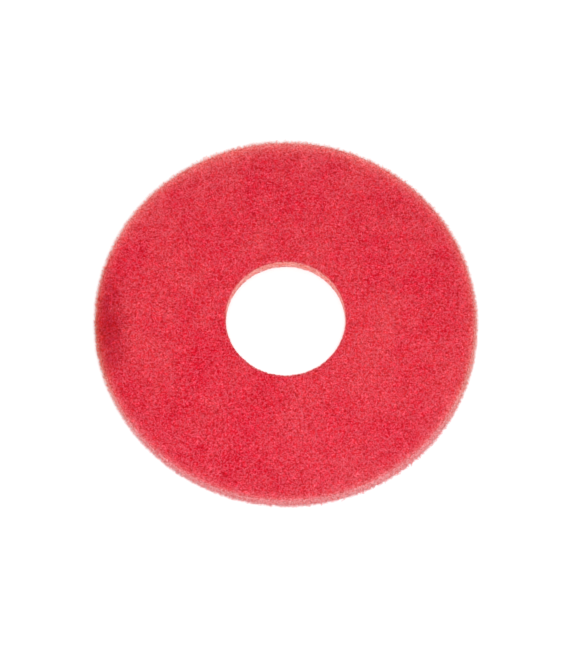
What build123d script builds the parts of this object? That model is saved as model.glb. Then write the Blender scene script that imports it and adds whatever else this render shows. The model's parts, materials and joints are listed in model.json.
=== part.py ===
from build123d import *
import os

# Floor pad for a rotary floor machine: one ring of bonded nonwoven fibre with a die-cut centre hole.
#
# Millimetres. The pad lies flat: its origin is the centre of the face that works on the floor, and +Z runs up
# its axis to the face that the machine's pad driver grips.

pad_diameter = 280.0  # an 11 inch pad
hole_diameter = 88.0  # clears the centring collar of the pad driver
pad_thickness = 12.0
rim_rounding = 1.5  # the cut outer edges roll over softly, on both faces
hole_rounding = 0.5  # the punched hole keeps a crisp edge, on both faces

pad_radius = pad_diameter / 2
hole_radius = hole_diameter / 2
hole_wall_length = pad_thickness - 2 * hole_rounding

os.makedirs("parts", exist_ok=True)

with BuildPart() as fibre_pad:
    with BuildSketch(Plane.XY):
        Circle(pad_radius)
    extrude(amount=pad_thickness)
    Hole(hole_radius)
    hole_edges, rim_edges = fibre_pad.edges().filter_by(GeomType.CIRCLE).group_by(SortBy.RADIUS)
    fillet(rim_edges, radius=rim_rounding)
    fillet(hole_edges, radius=hole_rounding)

fibre_pad.part.label = "fibre_pad"
export_step(fibre_pad.part, "parts/fibre_pad.step")

print(f"pad {pad_diameter:g} x {pad_thickness:g} mm, straight wall of the hole {hole_wall_length:g} mm")
print(f"volume {fibre_pad.part.volume / 1000:.1f} cm3")
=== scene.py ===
"""The look of a floor pad for a rotary floor machine: a ring of crimped red fibres bonded into an open web.

The web is real geometry. A deep red closed core fills the middle of the ring. Curly fibres wander over it
all the way round its section, gathered into a net with pores between, and loose ends stand out of the faces
and of the die-cut walls.
Metres, with the pad's axis on +Z and its floor face at z = 0.
"""
import json
import math

import bpy
import numpy as np
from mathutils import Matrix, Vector


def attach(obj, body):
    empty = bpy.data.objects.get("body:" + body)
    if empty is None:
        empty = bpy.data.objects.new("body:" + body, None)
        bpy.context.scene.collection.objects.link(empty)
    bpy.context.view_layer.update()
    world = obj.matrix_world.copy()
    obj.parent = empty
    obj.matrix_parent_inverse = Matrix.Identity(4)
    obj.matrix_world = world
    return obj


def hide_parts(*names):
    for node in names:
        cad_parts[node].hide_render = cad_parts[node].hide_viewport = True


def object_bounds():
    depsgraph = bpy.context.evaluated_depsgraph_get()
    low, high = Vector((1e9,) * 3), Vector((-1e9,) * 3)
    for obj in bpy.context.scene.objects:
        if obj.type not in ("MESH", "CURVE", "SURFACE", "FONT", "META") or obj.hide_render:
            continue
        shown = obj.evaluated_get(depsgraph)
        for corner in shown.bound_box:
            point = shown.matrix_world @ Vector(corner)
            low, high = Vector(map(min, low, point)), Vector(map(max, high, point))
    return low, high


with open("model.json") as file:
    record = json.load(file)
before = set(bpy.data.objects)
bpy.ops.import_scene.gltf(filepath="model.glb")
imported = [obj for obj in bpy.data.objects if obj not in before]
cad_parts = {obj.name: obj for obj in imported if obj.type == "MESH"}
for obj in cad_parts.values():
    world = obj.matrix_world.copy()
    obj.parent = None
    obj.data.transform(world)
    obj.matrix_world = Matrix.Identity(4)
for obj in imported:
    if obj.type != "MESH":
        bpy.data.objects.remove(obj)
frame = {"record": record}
cad_low, cad_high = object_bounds()

MM = 0.001
TURN = 2 * math.pi
NODE = "fibre_pad"
BODY = "root"

# Sizes that come from the frame.
hole_mount = next(m for m in frame["record"]["mounts"] if m["name"] == "centre_hole")
RIM_RADIUS = (cad_high.x - cad_low.x) / 2
HOLE_RADIUS = hole_mount["dims"]["r_mm"] * MM
THICKNESS = cad_high.z - cad_low.z
HOLE_ROUNDING = (THICKNESS - hole_mount["dims"]["length_mm"] * MM) / 2
RIM_ROUNDING = 1.5 * MM

rng = np.random.default_rng(7)


# ------------------------------------------------------------------ the ring's section
# The die cut isn't quite round or square: the rim bulges in one place, mostly at its foot, and is flatter
# in another. Each is (angle, spread in angle, how far at the foot, share of that at the top).
BULGE = (math.radians(-46), math.radians(37), 1.8 * MM, 0.35)
FLAT = (math.radians(-149), math.radians(35), -0.95 * MM, 0.45)

LEAST_ROUNDING = 0.3 * MM
ARC_POINTS = 13            # points along each rounded corner of the section
SCATTER_STEPS = 2000       # steps round the section when its area is added up


def stray(angle, height):
    """How far the rim stands out of its circle at an angle and a height."""
    down = 1 - np.clip(height / THICKNESS, 0, 1)
    total = 0.0
    for middle, spread, far, top_share in (BULGE, FLAT):
        away = np.mod(angle - middle + math.pi, TURN) - math.pi
        total = total + far * (top_share + (1 - top_share) * down) * np.exp(-((away / spread) ** 2))
    return total


class Section:
    """The closed outline of the ring's cut section, sunk below its faces and walls.

    A place on it is given by t, the length walked along it.
    """

    def __init__(self, below_faces=0.0, below_rim=0.0, below_hole=0.0):
        inner, outer = HOLE_RADIUS + below_hole, RIM_RADIUS - below_rim
        bottom, top = below_faces, THICKNESS - below_faces
        soft = max(RIM_ROUNDING - below_rim, LEAST_ROUNDING)
        crisp = max(HOLE_ROUNDING - below_hole, LEAST_ROUNDING)
        # Each corner is (radius, height, rounding, where its arc starts, in turns).
        corners = [
            (outer - soft, top - soft, soft, 0.25),
            (outer - soft, bottom + soft, soft, 0.0),
            (inner + crisp, bottom + crisp, crisp, -0.25),
            (inner + crisp, top - crisp, crisp, -0.5),
        ]
        points, normals = [], []
        for r, z, rounding, start in corners:
            for angle in np.linspace(start, start - 0.25, ARC_POINTS) * TURN:
                normal = np.array([math.cos(angle), math.sin(angle)])
                normals.append(normal)
                points.append(np.array([r, z]) + rounding * normal)
        self.points = np.array(points + points[:1])
        self.normals = np.array(normals + normals[:1])
        steps = np.hypot(*np.diff(self.points, axis=0).T)
        self.along = np.concatenate([[0.0], np.cumsum(steps)])
        self.length = self.along[-1]

    def at(self, t):
        """(radius, height, normal's outward part, normal's upward part) at length t along the outline."""
        t = np.mod(t, self.length)
        r, z = (np.interp(t, self.along, self.points[:, i]) for i in (0, 1))
        out, up = (np.interp(t, self.along, self.normals[:, i]) for i in (0, 1))
        size = np.hypot(out, up)
        return r, z, out / size, up / size

    def place(self, t, a, depth):
        """(points, normals) in space at length t and angle a round the axis, sunk below the skin by depth."""
        r, z, out, up = self.at(t)
        r, z = r - out * depth, z - up * depth
        r = r + stray(a, z) * (r - HOLE_RADIUS) / (RIM_RADIUS - HOLE_RADIUS)
        points = np.stack([r * np.cos(a), r * np.sin(a), z], -1)
        normals = np.stack([out * np.cos(a), out * np.sin(a), up], -1)
        return points, normals

    def scatter(self, count, a_range, share):
        """count places (t, a) spread evenly over the skin's area, thinned where share(out, up) is low."""
        t = np.linspace(0, self.length, SCATTER_STEPS)
        r, _, out, up = self.at(t)
        weight = np.cumsum(r * share(out, up))
        first, second = even_pairs(count)
        return np.interp(first * weight[-1], weight, t), a_range[0] + second * (a_range[1] - a_range[0])


def even_pairs(count):
    """count pairs from 0 to 1 that fill the unit square evenly but in no order that shows."""
    plastic = 1.32471795724475     # the plastic number, whose powers spread pairs evenly
    n = np.arange(count) + rng.uniform(0, 1000)
    jitter = rng.uniform(0, 0.5 / math.sqrt(count), (2, count))
    return np.mod(n / plastic + jitter[0], 1), np.mod(n / plastic**2 + jitter[1], 1)


def noise(points, cell, seed):
    """Smooth value noise from 0 to 1 on points (n, 3), with features about one cell across."""
    at = points / cell
    base = np.floor(at).astype(np.int64)
    part = at - base
    part = part * part * (3 - 2 * part)
    total = np.zeros(len(points))
    for corner in np.ndindex(2, 2, 2):
        x, y, z = (base + corner).T
        # Each corner's value is an integer hash of its place.
        key = (x * 73856093) ^ (y * 19349663) ^ (z * 83492791) ^ (seed * 25214903)
        key = ((key ^ (key >> 13)) * 1274126177) & 0x7FFFFFFF
        value = ((key ^ (key >> 16)) & 0xFFFF) / 0xFFFF
        total += value * np.prod(np.where(corner, part, 1 - part), axis=1)
    return total


def slope(points, cell, seed):
    """The gradient of that noise, per cell, so a value near 1 is steep."""
    nudge = 0.05
    step = nudge * cell
    middle = noise(points, cell, seed)
    return np.stack([(noise(points + step * axis, cell, seed) - middle) / nudge for axis in np.eye(3)], -1)


def mesh_object(name, points, faces, **attributes):
    """A smooth-shaded object from arrays of points and of faces. Attributes give each point a number."""
    mesh = bpy.data.meshes.new(name)
    corners = np.concatenate([f.ravel() for f in faces])
    sizes = np.concatenate([np.full(len(f), f.shape[1]) for f in faces])
    mesh.vertices.add(len(points))
    mesh.vertices.foreach_set("co", points.astype(np.float32).ravel())
    mesh.loops.add(len(corners))
    mesh.loops.foreach_set("vertex_index", corners.astype(np.int32))
    mesh.polygons.add(len(sizes))
    mesh.polygons.foreach_set("loop_start", np.concatenate([[0], np.cumsum(sizes)[:-1]]).astype(np.int32))
    mesh.polygons.foreach_set("use_smooth", np.ones(len(sizes), bool))
    mesh.update(calc_edges=True)
    for key, values in attributes.items():
        mesh.attributes.new(key, "FLOAT", "POINT").data.foreach_set("value", values.astype(np.float32))
    obj = bpy.data.objects.new(name, mesh)
    bpy.context.scene.collection.objects.link(obj)
    return obj


# ------------------------------------------------------------------ materials
class Nodes:
    """Short calls for building one material's nodes."""

    def __init__(self, name):
        self.material = bpy.data.materials.new(name)
        self.material.use_nodes = True
        self.tree = self.material.node_tree
        self.shader = self.tree.nodes["Principled BSDF"]

    def add(self, kind, inputs=(), **settings):
        """A new node, with its settings made first and its inputs given a value or linked."""
        made = self.tree.nodes.new("ShaderNode" + kind)
        for key, value in settings.items():
            setattr(made, key, value)
        for key, value in dict(inputs).items():
            if isinstance(value, bpy.types.NodeSocket):
                self.tree.links.new(value, made.inputs[key])
            else:
                made.inputs[key].default_value = value
        return made

    def attribute(self, name):
        return self.add("Attribute", attribute_name=name).outputs["Fac"]

    def grain(self, place, scale, **more):
        """Blender's noise, mostly between 0.3 and 0.7, with scale features to the metre."""
        inputs = {"Vector": place, "Scale": scale, "Detail": 1.0, **more}
        return self.add("TexNoise", inputs).outputs["Fac"]

    def rescale(self, value, source=(0.0, 1.0), target=(0.0, 1.0), **settings):
        """value's range source made to run over the range target, and held at its ends."""
        inputs = {"Value": value, "From Min": source[0], "From Max": source[1]}
        inputs |= {"To Min": target[0], "To Max": target[1]}
        return self.add("MapRange", inputs, **settings).outputs["Result"]

    def math(self, operation, a, b):
        return self.add("Math", {0: a, 1: b}, operation=operation).outputs[0]

    def ramp(self, fac, colours):
        """Evenly spaced colours over fac from 0 to 1."""
        made = self.add("ValToRGB", {"Fac": fac})
        stops = made.color_ramp.elements
        stops[1].color = (*colours[-1], 1)
        stops[0].color = (*colours[0], 1)
        for i, colour in enumerate(colours[1:-1], 1):
            stops.new(i / (len(colours) - 1)).color = (*colour, 1)
        return made.outputs["Color"]

    def swing(self, fac, size):
        """A noise that runs from 0 to 1, made to swing by size about 0."""
        made = self.add("Math", {0: fac, 1: size, 2: -size / 2}, operation="MULTIPLY_ADD")
        return made.outputs[0]

    def blend(self, share, a, b, kind="MIX"):
        mix = self.add("Mix", {"Factor": share, 6: a, 7: b}, data_type="RGBA", blend_type=kind)
        return mix.outputs[2]


# Linear colours, each from deep to light.
# RED's light end is paler in green and blue partly as painted sheen, in place of gloss.
RED = ((0.56, 0.0, 0.010), (0.72, 0.0, 0.030), (0.89, 0.106, 0.171))
PALE = ((0.90, 0.19, 0.195), (1.0, 0.34, 0.35), (1.0, 0.54, 0.56))
FAR_WARM_LIGHT_PALE = ((0.90, 0.19, 0.165), (1.0, 0.34, 0.30), (1.0, 0.54, 0.495))    # painted warm light: the far side's pale fibre, a little yellowed
FAR_STARTS = (-0.09, -0.05)     # the y over which the pale fibre turns from near to far
RIM_FADE = 2.0 * MM             # how far in from the rim the cut fibre pales
FAR_LIGHT_FADE = 1.9 * MM             # painted light: how much further in the paleness reaches on the far side

# A darker patch at the left edge.
DARK_PATCH_PLACE = (-131 * MM, -7 * MM)
DARK_PATCH_SIZE = (24 * MM, 52 * MM)
DARK_PATCH_RAGGED = 1.2             # how far the clouds push its edge about, as a share of its size
DARK_PATCH_RED = (0.72, 0.28, 0.50, 1)     # how much of each colour is left in the patch
DARK_PATCH_PALE = (0.74, 0.13, 0.01, 1)

# The grain, in features to the metre, and how strongly each shows.
# Fine flecks: random tone, partly painted light on tufts and painted shade in pores.
FLECKS = 1200.0
# Painted shade: a noise darkens the colour in its pits, as shade in the pores.
SHADED_PITS = 620.0
PIT_SHADE_RANGE = (0.54, 0.73)        # where the painted pit shade starts, and where it is darkest
PIT_SHADE_DEPTH = 1.5
CLOUDS = 22.0
CLOUD_RANGE = (0.39, 0.66)
CHALK = 0.13                    # the most that a cloud pales the face
ROUGHNESS_SWING = 0.12
GLOSS = 0.1

# The net of strands painted on the core.
STRANDS = 430.0
STRAND_LAYERS = 4
LAYER_APART = 3.7               # far enough apart in the noise that no two layers look alike
LAYER_SINK_AND_SHADE = 0.15               # how much lower each layer lies than the one above, in the bump and as painted shade
STRAND_WIDTH = 0.06
STRAND_BUMP = 0.3 * MM


def fibre_material(name, roughness, flecks, strands):
    """Dyed fibre with painted light and shade: deep to light red by its own tone, painted darker with depth,
    by fine flecks that are partly painted light and shade, and by painted shade in pits and between deep
    strands; clouded, paler at the cut rim, widened and warmed on the far side as painted light, and darker in
    a patch at the left edge.
    """
    n = Nodes(name)
    place = n.add("TexCoord").outputs["Object"]
    fleck = n.grain(place, FLECKS)
    # painted shade in the pits
    pit_shade = n.rescale(n.grain(place, SHADED_PITS), PIT_SHADE_RANGE, (0.0, PIT_SHADE_DEPTH))
    level = n.math("ADD", n.attribute("tone"), n.swing(fleck, flecks))
    level = n.math("SUBTRACT", level, pit_shade)
    if strands:
        height = deep_strands(n, place)
        # painted shade: darker between the strands and on the net's lower layers
        level = n.math("ADD", level, n.swing(height, strands))
        bump = n.add("Bump", {"Height": height, "Strength": 0.6, "Distance": STRAND_BUMP})
        n.tree.links.new(bump.outputs["Normal"], n.shader.inputs["Normal"])
    cloud = n.grain(place, CLOUDS, Detail=5.0, Roughness=0.85)
    chalk = n.rescale(cloud, CLOUD_RANGE, (0.0, CHALK))
    patch_share = left_dark_patch(n, place, cloud)
    red = n.blend(patch_share, n.ramp(level, RED), DARK_PATCH_RED, "MULTIPLY")
    # painted warm light: the pale fibre turns yellower towards the far side
    far = n.rescale(n.add("SeparateXYZ", {"Vector": place}).outputs["Y"], FAR_STARTS)
    pale = n.blend(far, n.ramp(level, PALE), n.ramp(level, FAR_WARM_LIGHT_PALE))
    pale = n.blend(patch_share, pale, DARK_PATCH_PALE, "MULTIPLY")
    paled = n.math("ADD", n.attribute("pale"), chalk)
    n.tree.links.new(n.blend(paled, red, pale), n.shader.inputs["Base Color"])
    rough = n.rescale(fleck, target=(roughness - ROUGHNESS_SWING, roughness + ROUGHNESS_SWING))
    n.tree.links.new(rough, n.shader.inputs["Roughness"])
    n.shader.inputs["Specular IOR Level"].default_value = GLOSS
    return n.material


def deep_strands(n, place):
    """A net of crossing curly strands, from 0 between them to 1 on them: the web too deep to be modelled. Its
    gaps and lower layers are painted darker, as shade.
    """
    total = None
    for layer in range(STRAND_LAYERS):
        inputs = {"Vector": place, "W": LAYER_APART * layer, "Scale": STRANDS, "Detail": 1.0}
        field = n.add("TexNoise", inputs, noise_dimensions="4D").outputs["Fac"]
        away = n.math("ABSOLUTE", n.swing(field, 1.0), 0.0)
        strand = n.rescale(away, (0.0, STRAND_WIDTH), (1.0 - LAYER_SINK_AND_SHADE * layer, 0.0))
        total = strand if total is None else n.math("MAXIMUM", total, strand)
    return total


def left_dark_patch(n, place, cloud):
    """0 away from the darker patch at the left edge to 1 at its middle, with a clouded edge."""
    low = [-c / s for c, s in zip((*DARK_PATCH_PLACE, 0), (*DARK_PATCH_SIZE, 1))]
    size = (1 / DARK_PATCH_SIZE[0], 1 / DARK_PATCH_SIZE[1], 0)
    near = n.add("VectorMath", {0: place, 1: size, 2: low}, operation="MULTIPLY_ADD").outputs[0]
    away = n.add("VectorMath", {0: near}, operation="LENGTH").outputs["Value"]
    away = n.math("ADD", away, n.swing(cloud, DARK_PATCH_RAGGED))
    return n.rescale(away, target=(1.0, 0.0), interpolation_type="SMOOTHSTEP")


# ------------------------------------------------------------------ the web
CORE = {"below_faces": 0.65 * MM, "below_rim": 1.5 * MM, "below_hole": 0.8 * MM}
CORE_PITCH = 1.3 * MM
CORE_TURNS = 480
CORE_RELIEF = 0.2 * MM
# The core's deep red, kept darker than the fibres as painted shade in the pores.
CORE_DYE_AND_PORE_SHADE = 0.2
CORE_RELIEF_PAINTED_SHADE = 0.5      # painted light and shade: how much lighter its lumps are than its hollows
CORE_PALE = 0.8            # its share of the cut fibre's paleness
PORE = 0.9 * MM            # the size of the web's pores and tufts
PORE_SEED = 3

# The hole's wall is pale between its two edges, and stays red within about this much of each face.
EDGE_FADE = 1.5 * MM
EDGE_KEPT = 0.2
HOLE_FADE = 1.0 * MM       # how far into the web that paleness goes
HOLE_FULL = 0.6            # the share of that which is fully pale


def rim_radius(points):
    return RIM_RADIUS + stray(np.arctan2(points[..., 1], points[..., 0]), points[..., 2])


def paleness(points):
    """How far the fibre is towards its pale, cut look, widened on the far side as painted light: 1 at the
    rim, high in the hole, 0 on the faces.
    """
    radius = np.hypot(points[..., 0], points[..., 1])
    # painted light: on the far side the pale band reaches further in
    reach = RIM_FADE + FAR_LIGHT_FADE * np.clip(points[..., 1] / radius, 0, 1) ** 2
    rim = np.exp(-np.maximum(rim_radius(points) - radius, 0) / reach)
    sunk = np.minimum(points[..., 2], THICKNESS - points[..., 2]) / EDGE_FADE
    wall = np.clip(1 + HOLE_FULL - (radius - HOLE_RADIUS) / HOLE_FADE, 0, 1) * np.clip(sunk - EDGE_KEPT, 0, 1)
    return np.maximum(rim, wall)


def web_core():
    """The closed, lumpy middle of the ring, seen between the fibres."""
    section = Section(**CORE)
    rows = round(section.length / CORE_PITCH)
    i, j = np.meshgrid(np.arange(rows), np.arange(CORE_TURNS), indexing="ij")
    t, a = i * section.length / rows, j * TURN / CORE_TURNS
    points, normals = section.place(t.ravel(), a.ravel(), 0.0)
    height = noise(points, PORE, PORE_SEED) - 0.5
    points = points + normals * (height * CORE_RELIEF)[:, None]
    i2, j2 = (i + 1) % rows, (j + 1) % CORE_TURNS
    row, row2 = i * CORE_TURNS, i2 * CORE_TURNS
    quads = np.stack([row + j, row2 + j, row2 + j2, row + j2], -1)
    # painted shade: the core is dark, and darkest in its hollows
    tone = CORE_DYE_AND_PORE_SHADE + height * CORE_RELIEF_PAINTED_SHADE
    pale = paleness(points) * CORE_PALE
    return mesh_object("web_core", points, [quads.reshape(-1, 4)], tone=tone, pale=pale)


def tubes(name, paths, ups, radii, tones):
    """One mesh of closed three-sided tubes along paths (n, k, 3)."""
    n, k, _ = paths.shape
    ahead = np.gradient(paths, axis=1)
    ahead /= np.linalg.norm(ahead, axis=2, keepdims=True)
    side = np.cross(ahead, ups)
    side /= np.maximum(np.linalg.norm(side, axis=2, keepdims=True), 1e-9)
    above = np.cross(side, ahead)
    angles = TURN / 4 + np.arange(3) * TURN / 3
    rings = [paths + radii[..., None] * (math.cos(q) * side + math.sin(q) * above) for q in angles]
    points = np.stack(rings, 2).reshape(-1, 3)
    first = (np.arange(n) * k * 3)[:, None, None]
    ring = first + np.arange(k - 1)[None, :, None] * 3
    corner, after = np.arange(3), (np.arange(3) + 1) % 3
    walls = np.stack([ring + corner, ring + after, ring + 3 + after, ring + 3 + corner], -1)
    first = first[:, 0]
    ends = np.concatenate([first + np.array([2, 1, 0]), first + (k - 1) * 3 + np.array([0, 1, 2])])
    faces = [walls.reshape(-1, 4), ends]
    return mesh_object(name, points, faces, tone=np.repeat(tones.ravel(), 3), pale=paleness(points))


FIBRE_RADIUS = 0.19 * MM
FIBRE_THICKNESSES = (0.7, 1.2)      # the thinnest and thickest fibre, as shares of that radius
FIBRE_STEP = 0.75 * MM
FIBRE_POINTS = 9
SHALLOWEST = 0.1 * MM               # how near a web fibre may come to the skin
END_DIP = 0.4 * MM                  # how much deeper its two ends go
RIM_DIP = 0.6 * MM                  # how much deeper fibre lies at the rim, to leave room for the cut ends
GATHER = 0.18 * PORE                # how far fibre is drawn towards the tufts
ROOT_DEPTH = 0.6 * MM               # how deep a cut end starts
FLOOR_CLEARANCE = 1.4 * FIBRE_RADIUS

FIBRE_TONE = (0.5, 0.22)            # the middle and spread of the tones that fibres are dyed
SKIN_PAINTED_LIGHT = 0.49                    # painted light: how much lighter a fibre is where it lies at the skin
SUNK_PAINTED_SHADE = 0.4                     # painted shade: how much of that is lost for each millimetre below it
END_TONE = (0.84, 0.2)              # the middle and spread of the cut ends' tones
END_LENGTHS = (1.5, 2.6)            # the shape of a beta distribution: most are short, a few long
# How far the middle of a loose fibre may stand out of the CAD solid.
LOOSE = {"rim": 1.6 * MM, "hole": -0.1 * MM, "face": 0.8 * MM}


def keep_close(points):
    """Holds points (n, 3) within the loose fibre's reach of the pad, and above the floor."""
    radius = np.hypot(points[:, 0], points[:, 1])
    held = np.clip(radius, HOLE_RADIUS - LOOSE["hole"], rim_radius(points) + LOOSE["rim"])
    points[:, :2] *= (held / radius)[:, None]
    points[:, 2] = np.clip(points[:, 2], FLOOR_CLEARANCE, THICKNESS + LOOSE["face"])
    return points


def web_share(out, up):
    """How thickly fibre lies: half as thick underneath, and thicker on the rim."""
    return np.where(up < -0.7, 0.5, np.where(out > 0, 1.25, 1.0))


def web_fibres(name, skin, count, a_range):
    """Crimped fibres that wander along the skin, dip in and out of it, and gather round the pores."""
    golden = 0.6180339887      # spreads the headings evenly, in an order that doesn't show
    t, a = skin.scatter(count, a_range, web_share)
    heading = TURN * np.mod(np.arange(count) * golden + rng.uniform(0, 0.1, count), 1)
    bend = rng.normal(0, 180, count)
    curl = rng.uniform(500, 1100, count)
    curl_length = rng.uniform(2.5, 4.5, count) * MM
    curl_start = rng.uniform(0, TURN, count)
    depth = rng.uniform(0.15, 0.55, count) * MM
    wave = rng.uniform(0.1, 0.25, count) * MM
    wave_length = rng.uniform(2.4, 4.0, count) * MM
    wave_start = rng.uniform(0, TURN, count)
    tone = rng.normal(*FIBRE_TONE, count)
    paths, ups, tones = [], [], []
    for i in range(FIBRE_POINTS):
        s = i * FIBRE_STEP
        dip = END_DIP if i in (0, FIBRE_POINTS - 1) else 0
        sunk = depth + wave * np.sin(TURN * s / wave_length + wave_start) + dip
        sunk = np.maximum(sunk, SHALLOWEST)
        points, normals = skin.place(t, a, sunk + RIM_DIP * np.clip(skin.at(t)[2], 0, 1))
        push = slope(points, PORE, PORE_SEED)
        push -= normals * np.sum(push * normals, axis=1, keepdims=True)
        paths.append(keep_close(points + push * GATHER))
        ups.append(normals)
        # painted shade: each fibre's dyed tone, painted lighter at the skin and darker the deeper it lies
        tones.append(tone + SKIN_PAINTED_LIGHT - SUNK_PAINTED_SHADE * sunk / MM)
        heading = heading + (bend + curl * np.sin(TURN * s / curl_length + curl_start)) * FIBRE_STEP
        t = t + np.cos(heading) * FIBRE_STEP
        a = a + np.sin(heading) * FIBRE_STEP / skin.at(t)[0]
    radii = FIBRE_RADIUS * rng.uniform(*FIBRE_THICKNESSES, (count, 1)) * np.ones(FIBRE_POINTS)
    radii[:, [0, -1]] *= 0.5
    return tubes(name, np.stack(paths, 1), np.stack(ups, 1), radii, np.stack(tones, 1))


def cut_ends(name, skin, count, share, reach, lean):
    """Short fibre ends that stand out of the skin by up to reach, leaning by about lean."""
    points_each = 4
    t, a = skin.scatter(count, (0, TURN), share)
    start, normals = skin.place(t, a, ROOT_DEPTH)
    drift = np.clip(rng.normal(0, lean, (count, 3)), -1, 1)
    curve = np.clip(rng.normal(0, lean, (count, 3)), -1, 1)
    length = reach * rng.beta(*END_LENGTHS, count)[:, None] + ROOT_DEPTH
    tone = rng.normal(*END_TONE, count)
    paths = []
    for i in range(points_each):
        s = i / (points_each - 1)
        ahead = normals + drift + curve * s
        paths.append(keep_close(start + ahead * length * s))
    ups = np.repeat(np.cross(normals, drift)[:, None], points_each, 1)
    taper = np.linspace(1, 0.7, points_each)
    radii = FIBRE_RADIUS * rng.uniform(*FIBRE_THICKNESSES, (count, 1)) * taper
    return tubes(name, np.stack(paths, 1), ups, radii, np.repeat(tone[:, None], points_each, 1))


def on_rim(out, up):
    return out > 0.3


def on_hole(out, up):
    return out < -0.7


def on_faces(out, up):
    return np.abs(up) > 0.7


def add_piece(obj, material):
    obj.data.materials.append(material)
    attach(obj, BODY)
    return obj


deep_web = fibre_material("deep_web", roughness=0.75, flecks=1.6, strands=2.0)
dyed_and_shaded_fibre = fibre_material("dyed_and_shaded_fibre", roughness=0.5, flecks=3.8, strands=0)

core = add_piece(web_core(), deep_web)
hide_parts(NODE)

# The web is in sectors only to keep each mesh small.
skin = Section()
SECTORS = 11
FIBRES_EACH = 3800
for k in range(SECTORS):
    span = (k * TURN / SECTORS, (k + 1) * TURN / SECTORS)
    add_piece(web_fibres(f"web_fibres_{k + 1:02d}", skin, FIBRES_EACH, span), dyed_and_shaded_fibre)

for name, count, share, reach, lean in (
    ("rim_cut_ends", 8000, on_rim, 1.6 * MM, 0.45),
    ("hole_cut_ends", 1200, on_hole, 0.4 * MM, 0.4),
    ("face_loose_ends", 5000, on_faces, 0.9 * MM, 0.8),
):
    add_piece(cut_ends(name, skin, count, share, reach, lean), dyed_and_shaded_fibre)


# ------------------------------------------------------------------ floor, light and camera
def pale_floor():
    half = 6.0
    mesh = bpy.data.meshes.new("floor")
    corners = [(x, y, 0.0) for x, y in ((-half, -half), (half, -half), (half, half), (-half, half))]
    mesh.from_pydata(corners, [], [(0, 1, 2, 3)])
    floor = bpy.data.objects.new("floor", mesh)
    bpy.context.scene.collection.objects.link(floor)
    n = Nodes("pale_floor")
    n.shader.inputs["Base Color"].default_value = (0.92, 0.92, 0.92, 1)
    n.shader.inputs["Roughness"].default_value = 0.9
    mesh.materials.append(n.material)


def studio_light():
    """An even white surround, and one soft light above the near side."""
    world = bpy.data.worlds.new("studio")
    world.use_nodes = True
    background = world.node_tree.nodes["Background"]
    background.inputs["Color"].default_value = (1, 1, 1, 1)
    background.inputs["Strength"].default_value = 0.8
    bpy.context.scene.world = world
    soft_box("key", place=(0.03, -0.38, 1.2), size=0.3, power=9.8)


def soft_box(name, place, size, power):
    """A square area light that faces the pad's middle."""
    light = bpy.data.lights.new(name, "AREA")
    light.size = size
    light.energy = power
    box = bpy.data.objects.new(name, light)
    box.location = place
    box.rotation_mode = "QUATERNION"
    box.rotation_quaternion = Vector(place).to_track_quat("Z", "Y")
    bpy.context.scene.collection.objects.link(box)


def photo_camera():
    """A long lens above the pad and a little to the near side, so that the near wall just shows."""
    tilt = math.radians(19.0)
    distance = 2.3
    image_width, image_height = 568, 649
    pad_share = 0.669     # of the image's width
    data = bpy.data.cameras.new("camera")
    data.sensor_width = 36.0
    data.lens = data.sensor_width * distance * pad_share / (2 * RIM_RADIUS) * image_width / image_height
    camera = bpy.data.objects.new("camera", data)
    back = Vector((0, -math.sin(tilt), math.cos(tilt)))
    aim = Vector((-1.2 * MM, -2.7 * MM, 0.43 * THICKNESS))
    camera.location = aim + back * distance
    camera.rotation_mode = "QUATERNION"
    camera.rotation_quaternion = back.to_track_quat("Z", "Y")
    bpy.context.scene.collection.objects.link(camera)
    bpy.context.scene.camera = camera


pale_floor()
studio_light()
photo_camera()
bpy.context.scene.view_settings.view_transform = "Standard"
